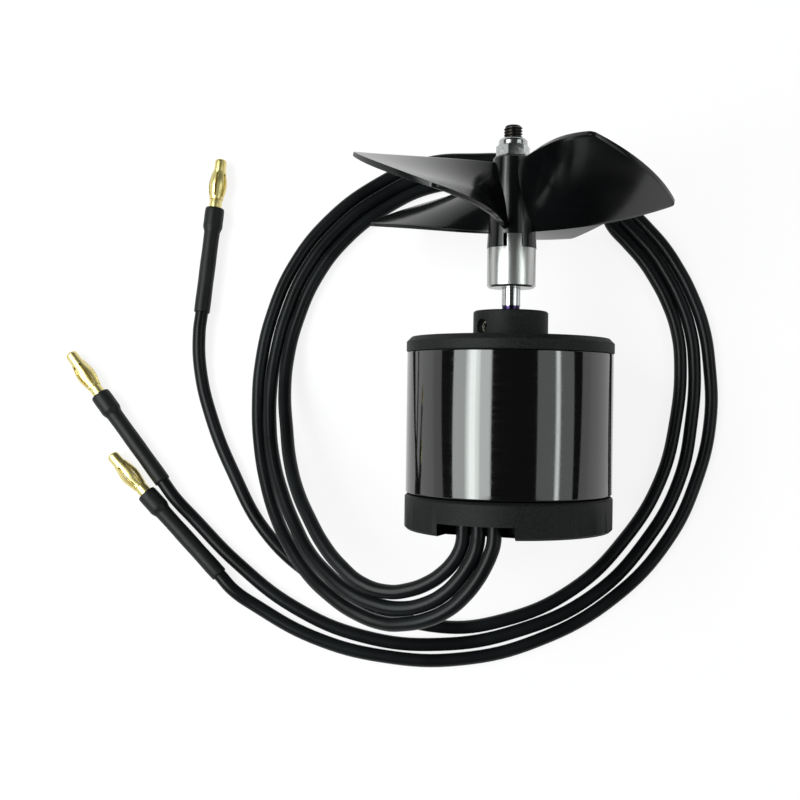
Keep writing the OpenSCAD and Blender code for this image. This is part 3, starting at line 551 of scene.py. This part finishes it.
def along_sleeve(i):
    """Lays a piece that is modelled along z on the floor, where the sleeve starts."""
    return (Matrix.Translation(sleeve_spot(i, 0)) @ turned(SLEEVE_HEADINGS[i])
            @ Matrix.Rotation(math.pi / 2, 4, "Y"))


def lead(i):
    """A phase lead: a round bead along a smooth line through the route's points."""
    line = [lead_exit(i, a) for a in (BASE_FLOOR, POCKET_DEPTH, LEAD_LIP)]
    line += [above_floor(*point) for point in ROUTES[i]]
    line += [sleeve_spot(i, a) for a in (-LEAD_RUN_UP, 0, LEAD_IN_SLEEVE / 2, LEAD_IN_SLEEVE)]
    curve = bpy.data.curves.new("lead_" + LETTERS[i], "CURVE")
    curve.dimensions = "3D"
    # A hair thicker than the solid, so that neighbours touch as they do in the bundle
    curve.bevel_depth = (LEAD_D / 2 + LEAD_TOUCH) * MM
    curve.bevel_resolution = 10
    curve.resolution_u = 8
    curve.use_fill_caps = True
    spline = curve.splines.new("BEZIER")
    spline.bezier_points.add(len(line) - 1)
    for point, spot in zip(spline.bezier_points, line):
        point.co = spot
        point.handle_left_type = point.handle_right_type = "AUTO"
    piece = bpy.data.objects.new("lead_" + LETTERS[i], curve)
    bpy.context.scene.collection.objects.link(piece)
    curve.materials.append(silicone)
    return piece


def sleeve(i):
    """A shrunk sleeve: snug on the lead, with a soft shoulder up over the plug's cup, cut square."""
    bore, cup_bore = LEAD_D / 2 + FIT, 2.12
    lip, shoulder, swell, bumps = 0.6, 2.2, 0.03, 8
    wide = SLEEVE_L - SLEEVE_CUP_L
    rise = SLEEVE_CUP_R - SLEEVE_R
    profile = [(bore, 0.1), (cup_bore, 0), (SLEEVE_R - 0.04, 0.15), (SLEEVE_R, lip)]
    for k in range(1, bumps + 1):
        profile.append((SLEEVE_R + swell * math.sin(k * 1.7),
                        lip + (wide - shoulder - lip) * k / bumps))
    for t in (0.15, 0.3, 0.45, 0.6, 0.75, 0.9, 1):
        profile.append((SLEEVE_R + rise * (3 * t * t - 2 * t ** 3), wide - shoulder + shoulder * t))
    profile += [
        (SLEEVE_CUP_R - 0.02, wide + 1.5), (SLEEVE_CUP_R, wide + 3),
        (SLEEVE_CUP_R - 0.03, SLEEVE_L - 0.8), (SLEEVE_CUP_R - 0.09, SLEEVE_L - 0.2),
        (SLEEVE_CUP_R - 0.23, SLEEVE_L), (cup_bore + 0.08, SLEEVE_L - 0.1), (cup_bore, SLEEVE_L - 1),
        (cup_bore, LEAD_IN_SLEEVE), (bore, LEAD_IN_SLEEVE), (bore, 0.1)]
    piece = turn_on_lathe("sleeve_" + LETTERS[i], profile, 48)
    smooth(piece, 50)
    place(piece, along_sleeve(i))
    piece.data.materials.append(shrink)
    return piece


def plug(i):
    """A bullet plug: a pin with a rounded nose, and a spring cage of bowed strips round it."""
    cup, stem, waist, nose = 2.08, 1.8, 1.3, 1.7
    stem_end = SLEEVE_L + PLUG_STEM_L
    cage_end = stem_end + PLUG_CAGE_L
    nose_end = cage_end + PLUG_NOSE_L
    pin = turn_on_lathe("plug_" + LETTERS[i], [
        (0, LEAD_IN_SLEEVE), (cup, LEAD_IN_SLEEVE), (cup, SLEEVE_L - 0.3), (stem, SLEEVE_L - 0.1),
        (stem, stem_end - 0.2), (stem - 0.08, stem_end), (waist + 0.05, stem_end + 0.4),
        (waist, cage_end - 0.4), (nose, cage_end - 0.1), (nose, nose_end - 0.9),
        (nose - 0.08, nose_end - 0.5), (nose - 0.3, nose_end - 0.2), (nose - 0.65, nose_end - 0.03),
        (nose - 1.1, nose_end), (0, nose_end)], 48)
    # One cage, turned with a bowed belly, then slit into strips
    ring, belly, wall, steps = 2.0, 0.65, 0.32, 16
    shares = [k / steps for k in range(steps + 1)]
    outer = [(ring + belly * math.sin(math.pi * t) ** 1.5, stem_end + PLUG_CAGE_L * t) for t in shares]
    inner = [(r - wall, h) for r, h in reversed(outer)]
    cage = turn_on_lathe("cage", outer + inner + outer[:1], 72)
    reach, half_slit, end_ring = 4, 0.36, 0.8
    for k in range(PLUG_SLITS // 2):
        cut(cage, block("slit", (-reach, -half_slit, stem_end + end_ring),
                        (reach, half_slit, cage_end - end_ring),
                        Matrix.Rotation(math.pi * 2 * k / PLUG_SLITS + PLUG_TURN * i, 4, "Z")))
    join(pin, [cage])
    smooth(pin, 40)
    place(pin, along_sleeve(i))
    pin.data.materials.append(gold)
    return pin


for i, letter in enumerate(LETTERS):
    lead_piece, sleeve_piece, plug_piece = lead(i), sleeve(i), plug(i)
    for piece, node, slot in (
        (lead_piece, "phase_lead_", "lead_silicone"),
        (sleeve_piece, "heat_shrink_", "heat_shrink"),
        (plug_piece, "bullet_plug_", "plug_gold"),
    ):
        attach(piece, "stator")
        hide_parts(node + letter)


# The base
def base_casting():
    """The base: a blasted plate with a rim, a bearing tube, tapped holes and a pocket in its edge."""
    seat, tube, shoulder, hollow, collar = 7.02, 9.0, 5.5, 23.65, 11.5
    lower_step, collar_top, upper_step, tube_top = 7, 13.5, 37, 42
    bevel = 0.6
    piece = turn_on_lathe("base_plate", [
        (seat, 0), (BASE_R - bevel, 0), (BASE_R, bevel), (BASE_R, BASE_H - bevel),
        (BASE_R - bevel, BASE_H), (hollow, BASE_H), (hollow, BASE_FLOOR), (collar, BASE_FLOOR),
        (collar, collar_top), (tube, collar_top), (tube, tube_top), (seat, tube_top),
        (seat, upper_step), (shoulder, upper_step), (shoulder, lower_step), (seat, lower_step),
        (seat, 0)], 144)
    # A pocket with rounded corners, open square at the edge
    inner, mouth, outside, half = 15, 20, 45, 10.2
    pocket = block("pocket", (inner, -half, -1), (outside, half, POCKET_DEPTH), turned(POCKET_ANGLE))
    round_edges(pocket, 2.9, 60, 8)
    cut(piece, pocket)
    cut(piece, block("pocket_mouth", (mouth, -half, -1), (outside, half, POCKET_DEPTH),
                     turned(POCKET_ANGLE)))
    for i in range(len(LETTERS)):
        x, y = lead_hole(i)
        spot = Matrix.Translation((x * MM, y * MM, 0))
        cut(piece, rod("lead_hole", LEAD_D / 2 + 0.1, -1, BASE_FLOOR + 1, 32, spot))
    bolt_circle_r, tap_r, tap_depth, taps = 15, 1.65, 4.6, 4
    for k in range(taps):
        spot = turned(POCKET_ANGLE + 45 + 90 * k) @ Matrix.Translation((bolt_circle_r * MM, 0, 0))
        cut(piece, rod("tapped_hole", tap_r, -1, tap_depth, 32, spot))
    round_edges(piece, 0.14, 35, 2)
    smooth(piece, 30)
    return piece


# The rotor
def can_shell():
    """The can: a turned steel tube with its edges broken."""
    low_edge, high_edge = 0.3, 0.25
    piece = turn_on_lathe("can_shell", [
        (CAN_BORE, CAN_BOTTOM), (CAN_R - low_edge, CAN_BOTTOM), (CAN_R, CAN_BOTTOM + low_edge),
        (CAN_R, CAN_TOP - high_edge), (CAN_R - high_edge, CAN_TOP), (CAN_BORE, CAN_TOP),
        (CAN_BORE, CAN_BOTTOM)], 192)
    round_edges(piece, 0.1, 30, 2)
    smooth(piece, 25)
    return piece


def cap_plate():
    """The end cap: a bevelled plate with a shaft boss, drilled for two grub screws."""
    spigot = CAN_BORE - FIT
    hollow = spigot - 2.5
    spigot_foot = CAN_TOP - 1.6
    edge, bevel, boss_edge = 0.2, 1.3, 0.4
    piece = turn_on_lathe("cap_plate", [
        (SHAFT_BORE, CAN_TOP), (hollow, CAN_TOP), (hollow, spigot_foot), (spigot, spigot_foot),
        (spigot, CAN_TOP), (BASE_R - edge, CAN_TOP), (BASE_R, CAN_TOP + edge),
        (BASE_R, CAP_TOP - bevel), (BASE_R - bevel, CAP_TOP), (BOSS_R, CAP_TOP),
        (BOSS_R, BOSS_TOP - boss_edge), (BOSS_R - boss_edge, BOSS_TOP), (SHAFT_BORE, BOSS_TOP),
        (SHAFT_BORE, CAN_TOP)], 192)
    for angle in (CAP_GRUB_ANGLE, CAP_GRUB_ANGLE - 90):
        cut(piece, rod("grub_hole", CAP_GRUB_R + FIT, 0, BOSS_R + 2, 48, spoke(angle, CAP_GRUB_LEVEL)))
    round_edges(piece, 0.22, 28, 3)
    smooth(piece, 30)
    return piece


def grub_screw(name, radius, length, matrix):
    """A grub screw: a rod with a broken edge and a hexagon socket, that ends on the shaft."""
    top = SHAFT_BORE + length
    piece = rod(name, radius, SHAFT_BORE, top, 48)
    cut(piece, rod("socket", radius / 2 / math.cos(math.pi / 6), top - radius, top + 1, 6))
    round_edges(piece, 0.18, 40, 2)
    smooth(piece, 30)
    return place(piece, matrix)


def shaft_bar():
    """The shaft: ground bar with a broken end, a ring groove and a relief beside the boss."""
    foot, edge = 0.4, 0.4
    groove_r, groove_foot, groove_top = 2.15, 1.4, 2
    relief_r = 2.38
    piece = turn_on_lathe("shaft_bar", [
        (0, foot), (SHAFT_R - edge, foot), (SHAFT_R, foot + edge), (SHAFT_R, groove_foot),
        (groove_r, groove_foot), (groove_r, groove_top), (SHAFT_R, groove_top), (SHAFT_R, BOSS_TOP),
        (relief_r, BOSS_TOP + 0.05), (relief_r, RELIEF_TOP - 0.1), (SHAFT_R, RELIEF_TOP),
        (SHAFT_R, SHAFT_TOP), (0, SHAFT_TOP)], 96)
    smooth(piece, 25)
    return piece


def dog_collar():
    """The drive dog: a turned collar with a tongue milled across its top, drilled right through."""
    edge, half_tongue, beyond, tongue_turn = 0.5, 1.95, 9, 3.5
    piece = turn_on_lathe("dog_collar", [
        (0, DOG_BOTTOM), (DOG_R - edge, DOG_BOTTOM), (DOG_R, DOG_BOTTOM + edge), (DOG_R, TONGUE_TOP),
        (0, TONGUE_TOP)], 128)
    for low, high in ((-beyond, -half_tongue), (half_tongue, beyond)):
        cut(piece, block("shoulder", (low, -beyond, DOG_TOP), (high, beyond, TONGUE_TOP + 1),
                         turned(tongue_turn)))
    cut(piece, rod("shaft_bore", SHAFT_BORE, DOG_BOTTOM - 1, SHAFT_TOP, 64))
    cut(piece, rod("stud_bore", SHAFT_BORE, SHAFT_TOP - 0.1, TONGUE_TOP + 1, 64))
    cut(piece, rod("grub_hole", DOG_GRUB_R + FIT, 0, DOG_R + 2, 48,
                   spoke(DOG_GRUB_ANGLE, DOG_GRUB_LEVEL)))
    round_edges(piece, 0.12, 35, 2)
    smooth(piece, 30)
    return piece


def stud_thread():
    """The stud: a rod with a rolled thread at its free end, closed by a bevelled tip."""
    pitch, root, crest, start, turns = 0.8, 1.98, 2.48, 98.4, 13
    bevel, tip_r = 0.6, 1.0
    piece = draw_line("stud_thread", [
        (root, start), (root + 0.16, start + 0.1), (crest - 0.08, start + 0.31),
        (crest, start + 0.37), (crest, start + 0.45), (crest - 0.08, start + 0.51),
        (root + 0.16, start + 0.72), (root, start + pitch)])
    bpy.ops.object.mode_set(mode="OBJECT")
    modify(piece, "SCREW", angle=2 * math.pi, screw_offset=pitch * MM, iterations=turns, steps=48,
           render_steps=48, axis="Z", use_merge_vertices=True, merge_threshold=MM / 1000)
    # The tip's bevel and end face take off what stands past them
    for v in piece.data.vertices:
        reach = math.hypot(v.co.x, v.co.y)
        limit = max(tip_r * MM, crest * MM - max(0.0, v.co.z - (STUD_TOP - bevel) * MM))
        if reach > limit:
            v.co.x *= limit / reach
            v.co.y *= limit / reach
        v.co.z = min(v.co.z, STUD_TOP * MM)
    foot, core_r = SHAFT_TOP + FIT, root + 0.03
    core = turn_on_lathe("core", [
        (0, foot), (SHAFT_R, foot), (SHAFT_R, start + 0.4), (core_r, start + 0.5),
        (core_r, STUD_TOP - 0.25), (root - 0.25, STUD_TOP), (0, STUD_TOP)], 64)
    join(piece, [core])
    close_mesh(piece, merge=False)
    smooth(piece, 40)
    return piece


def nut_body():
    """The lock nut: a hexagon with its corners turned off, and a collar rolled in over the insert."""
    across_flats, collar_r = 8, 3.9
    corner = across_flats / 2 / math.cos(math.pi / 6)
    hexagon = rod("nut_body", corner, HUB_TOP, HEXAGON_TOP, 6, turned(NUT_TURN))
    corners = turn_on_lathe("turned_corners", [
        (0, HUB_TOP), (corner - 0.45, HUB_TOP), (corner + 0.05, HUB_TOP + 0.3),
        (corner + 0.05, HEXAGON_TOP - 0.45), (corner - 0.65, HEXAGON_TOP), (0, HEXAGON_TOP)], 96)
    cut(hexagon, corners, "INTERSECT")
    collar = turn_on_lathe("collar", [
        (0, HEXAGON_TOP - 0.5), (collar_r, HEXAGON_TOP - 0.5), (collar_r, NUT_TOP - 1.0),
        (collar_r - 0.08, NUT_TOP - 0.62), (collar_r - 0.3, NUT_TOP - 0.3),
        (collar_r - 0.6, NUT_TOP - 0.08), (collar_r - 0.95, NUT_TOP), (0, NUT_TOP)], 96)
    cut(hexagon, collar, "UNION")
    cut(hexagon, rod("nut_bore", SHAFT_BORE, HUB_TOP - 1, NUT_TOP + 1, 64))
    cut(hexagon, rod("insert_seat", INSERT_R + FIT, HEXAGON_TOP, NUT_TOP + 1, 64))
    round_edges(hexagon, 0.1, 35, 2)
    smooth(hexagon, 28)
    return hexagon


def insert_ring():
    """The nylon ring: its lip is pressed in by the thread."""
    piece = turn_on_lathe("insert_ring", [
        (SHAFT_BORE, HEXAGON_TOP), (INSERT_R, HEXAGON_TOP), (INSERT_R, NUT_TOP - 0.12),
        (INSERT_R - 0.13, NUT_TOP - 0.03), (INSERT_R - 0.28, NUT_TOP - 0.08),
        (SHAFT_BORE, NUT_TOP - 0.25), (SHAFT_BORE, HEXAGON_TOP)], 64)
    smooth(piece, 40)
    return piece


# The propeller: helical blades that share one formula with the solids, in millimetres and degrees
PROP_R = 44.5
ROOT_R = 3.8
PROP_TURN = -76.0
TIP_ROUND = 1.2
BLADE_WRAP = 69.0
HIGH_ROOT = 3.0
HIGH_SWEEP = 7.2
LOW_ROOT = 18.0
LOW_SWEEP = 20.0
BLADE_INSET = 1.8
HIGH_FALL = 1.2
BLADE_LIFT = 4.2
LOW_RISE = 5.0
ROOT_T = 4.2
TIP_T = 1.5
EDGE_T = 1.0
BLADES = 4


def blade_spot(r, s):
    """Middle face of a blade, at radius r and share s of the way from the upper edge to the lower."""
    out = r / PROP_R
    high = HIGH_ROOT * (1 - out) ** 2 + HIGH_SWEEP * out ** 4
    low = BLADE_WRAP - LOW_ROOT * (1 - out) ** 4 - LOW_SWEEP * out ** 1.4
    high_level = HUB_TOP - BLADE_INSET - HIGH_FALL * out ** 4
    low_level = HUB_BOTTOM + BLADE_LIFT + LOW_RISE * out ** 1.4
    descent = (high_level - low_level) / (low - high)
    lay = math.atan(math.degrees(descent) / r)
    # The outer corners are rounded
    beyond = max(0.0, r - (PROP_R - TIP_ROUND))
    pull = TIP_ROUND - math.sqrt(max(0.0, TIP_ROUND ** 2 - beyond ** 2))
    pull = math.degrees(pull * math.cos(lay) / r)
    turn = high + pull + (low - high - 2 * pull) * s
    level = high_level - descent * (turn - high)
    return Vector((r * math.cos(math.radians(turn)), r * math.sin(math.radians(turn)), level)) * MM


def blade_thickness(r, s):
    """Thickness in millimetres, fullest in mid-chord."""
    full = ROOT_T + (TIP_T - ROOT_T) * (r - ROOT_R) / (PROP_R - ROOT_R)
    return EDGE_T + (full - EDGE_T) * 4 * s * (1 - s)


def propeller_moulding():
    """The propeller: blades bent from a grid and thickened, round a hub with a slot for the tongue."""
    across, outwards, crowding = 28, 60, 1.6
    clear_selection()
    bpy.ops.mesh.primitive_grid_add(x_subdivisions=across, y_subdivisions=outwards, size=2)
    blade = named("propeller_moulding")
    weights = blade.vertex_groups.new(name="thickness")
    for v in blade.data.vertices:
        s = (v.co.x + 1) / 2
        # The rows crowd together towards the tip, where the corners are rounded
        t = 1 - (1 - (v.co.y + 1) / 2) ** crowding
        r = ROOT_R + (PROP_R - ROOT_R) * t
        v.co = blade_spot(r, s)
        weights.add([v.index], blade_thickness(r, s) / ROOT_T, "REPLACE")
    modify(blade, "SOLIDIFY", thickness=ROOT_T * MM, offset=0, vertex_group="thickness",
           use_even_offset=False)
    round_edges(blade, 0.34, 50, 3)
    close_mesh(blade)
    blade.vertex_groups.clear()
    smooth(blade, 60)
    others = [place(copied(blade), turned(360 / BLADES * k)) for k in range(1, BLADES)]
    bore, foot_r, top_r, half_slot, beyond = 2.6, 6.5, 5.3, 2.5, 15
    hub = turn_on_lathe("hub", [
        (bore, HUB_BOTTOM), (foot_r, HUB_BOTTOM), (foot_r + 0.15, HUB_BOTTOM + 0.15),
        (top_r, HUB_TOP - 0.6), (top_r - 0.6, HUB_TOP), (bore, HUB_TOP), (bore, HUB_BOTTOM)], 128)
    hub.data.transform(turned(-PROP_TURN))
    cut(hub, block("slot", (-half_slot, -beyond, HUB_BOTTOM - 1), (half_slot, beyond, TONGUE_TOP + 0.1),
                   turned(-PROP_TURN)))
    round_edges(hub, 0.22, 32, 3)
    smooth(hub, 32)
    join(blade, others + [hub])
    return place(blade, turned(PROP_TURN))


MOTOR = (
    (base_casting(), "stator", "base", "blasted_black", blasted),
    (can_shell(), "rotor", "rotor_can", "can_black", can_black),
    (cap_plate(), "rotor", "end_cap", "blasted_black", blasted),
    (shaft_bar(), "rotor", "shaft", "shaft_steel", shaft_steel),
    (dog_collar(), "rotor", "drive_dog", "turned_aluminium", bare_aluminium),
    (propeller_moulding(), "rotor", "propeller", "propeller_nylon", nylon),
    (stud_thread(), "rotor", "prop_stud", "dark_steel", black_oxide),
    (nut_body(), "rotor", "lock_nut", "nut_zinc", zinc),
    (insert_ring(), "rotor", "nylon_insert", "insert_nylon", insert_nylon),
    (grub_screw("dog_grub", DOG_GRUB_R, DOG_GRUB_L, spoke(DOG_GRUB_ANGLE, DOG_GRUB_LEVEL)),
     "rotor", "dog_grub_screw", "dark_steel", grub_steel),
)
for piece, body, node, slot, finish in MOTOR:
    place(piece, LAY_DOWN)
    piece.data.materials.clear()
    piece.data.materials.append(finish)
    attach(piece, body)
    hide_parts(node)

# The end cap's two screws stand for one node
first_grub = grub_screw("cap_grub_front", CAP_GRUB_R, CAP_GRUB_L, spoke(CAP_GRUB_ANGLE, CAP_GRUB_LEVEL))
second_grub = copied(first_grub)
second_grub.name = "cap_grub_back"
place(second_grub, turned(-90))
for piece in (first_grub, second_grub):
    place(piece, LAY_DOWN)
    piece.data.materials.append(grub_steel)
    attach(piece, "rotor")
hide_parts("cap_grub_screws")

# Inner pieces keep their solids and get their finishes
for node, finish in {
    "stator_core": laminations,
    "windings": copper,
    "magnets": nickel,
    "lower_outer_race": race_steel,
    "upper_outer_race": race_steel,
    "lower_inner_race": race_steel,
    "upper_inner_race": race_steel,
    "lower_ball_set": brass_cage,
    "upper_ball_set": brass_cage,
    "bearing_spacer": race_steel,
    "retaining_ring": spring_steel,
}.items():
    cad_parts[node].material_slots[0].material = finish


# Floor, light and background
def pale_floor():
    """White card: it takes the shadows, and shows as white to the eye and in reflections."""
    made, tree, shader, spot = start_material("white_card",
                                              {"Roughness": 0.9, "Specular IOR Level": 0.1})
    fibre = add_node(tree, "ShaderNodeTexNoise", {"Scale": per_metre(3), "Detail": 2},
                     {"Vector": (spot, "Object")})
    colour = add_node(tree, "ShaderNodeValToRGB", {"stops": ((0, "#f4f4f4"), (1, "#fafafa"))},
                      {"Fac": (fibre, "Fac")})
    connect(tree, shader, {"Base Color": (colour, "Color")})
    glow = add_node(tree, "ShaderNodeEmission", {"Strength": 1.0})
    path = add_node(tree, "ShaderNodeLightPath")
    seen = add_node(tree, "ShaderNodeMath", {"operation": "ADD"},
                    {0: (path, "Is Camera Ray"), 1: (path, "Is Glossy Ray")})
    seen = add_node(tree, "ShaderNodeMath", {"operation": "ADD", "use_clamp": True},
                    {0: (seen, "Value"), 1: (path, "Is Transmission Ray")})
    share = add_node(tree, "ShaderNodeMath", {"operation": "MULTIPLY", 1: 0.86}, {0: (seen, "Value")})
    mixed = add_node(tree, "ShaderNodeMixShader", {},
                     {0: (share, "Value"), 1: (shader, "BSDF"), 2: (glow, "Emission")})
    output = next(n for n in tree.nodes if n.type == "OUTPUT_MATERIAL")
    connect(tree, output, {"Surface": (mixed, "Shader")})
    return made


# Flat round the motor, then up in a low wall that stands behind it in the low views
FLOOR_PROFILE = [(0, 0), (1000, 0), (2000, 0), (2400, 40), (2650, 130), (2800, 290), (2850, 440)]
floor = turn_on_lathe("floor", FLOOR_PROFILE, 96)
place(floor, Matrix.Translation((0, 0, FLOOR_Z)))
close_mesh(floor, merge=False, inside=True)
smooth(floor, 60)
floor.data.materials.append(pale_floor())

world = bpy.data.worlds.new("studio")
bpy.context.scene.world = world
world.use_nodes = True
world.node_tree.nodes["Background"].inputs["Color"].default_value = linear("#ffffff")
world.node_tree.nodes["Background"].inputs["Strength"].default_value = 0.04


def softbox(name, angle, distance, width, radiance, span):
    """A softbox at an angle from the camera's line, to the right above 0 degrees, in metres.

    The span is its length, and its place along the motor's axis in millimetres.
    """
    length, along = span
    data = bpy.data.lights.new(name, "AREA")
    data.shape = "RECTANGLE"
    data.size, data.size_y = width, length
    data.color = linear("#f9fffc")[:3]
    data.energy = radiance * math.pi * width * length
    lamp = bpy.data.objects.new(name, data)
    bpy.context.scene.collection.objects.link(lamp)
    lamp.matrix_world = (
        Matrix.Translation(laid(0, 0, along)) @ Matrix.Rotation(TILT, 4, "X")
        @ Matrix.Rotation(math.radians(angle), 4, "Y") @ Matrix.Translation((0, 0, distance)))


# Each tube is brightest in the middle, so it is built from boxes of falling width
BESIDE = (0.46, 40.0)
ABOVE = (0.22, 380.0)
for lamp in (
    ("left_softbox", -43.7, 0.62, 0.50, 4.35, BESIDE),
    ("left_edge", -30, 0.61, 0.15, 2.0, BESIDE),
    ("left_top", -43.7, 0.62, 0.42, 2.6, ABOVE),
    ("left_top_tube", -45, 0.60, 0.12, 8.5, ABOVE),
    ("right_top", 48.3, 0.62, 0.34, 1.6, ABOVE),
    ("right_softbox", 48.3, 0.62, 0.49, 1.15, BESIDE),
    ("left_tube", -42.4, 0.60, 0.17, 2.9, BESIDE),
    ("left_tube", -42.4, 0.595, 0.12, 2.9, BESIDE),
    ("left_tube", -42.4, 0.59, 0.07, 2.9, BESIDE),
    ("right_tube", 50, 0.60, 0.065, 3.3, BESIDE),
    ("right_tube", 50, 0.595, 0.035, 3.3, BESIDE),
):
    softbox(*lamp)

bpy.context.scene.view_settings.view_transform = "Standard"
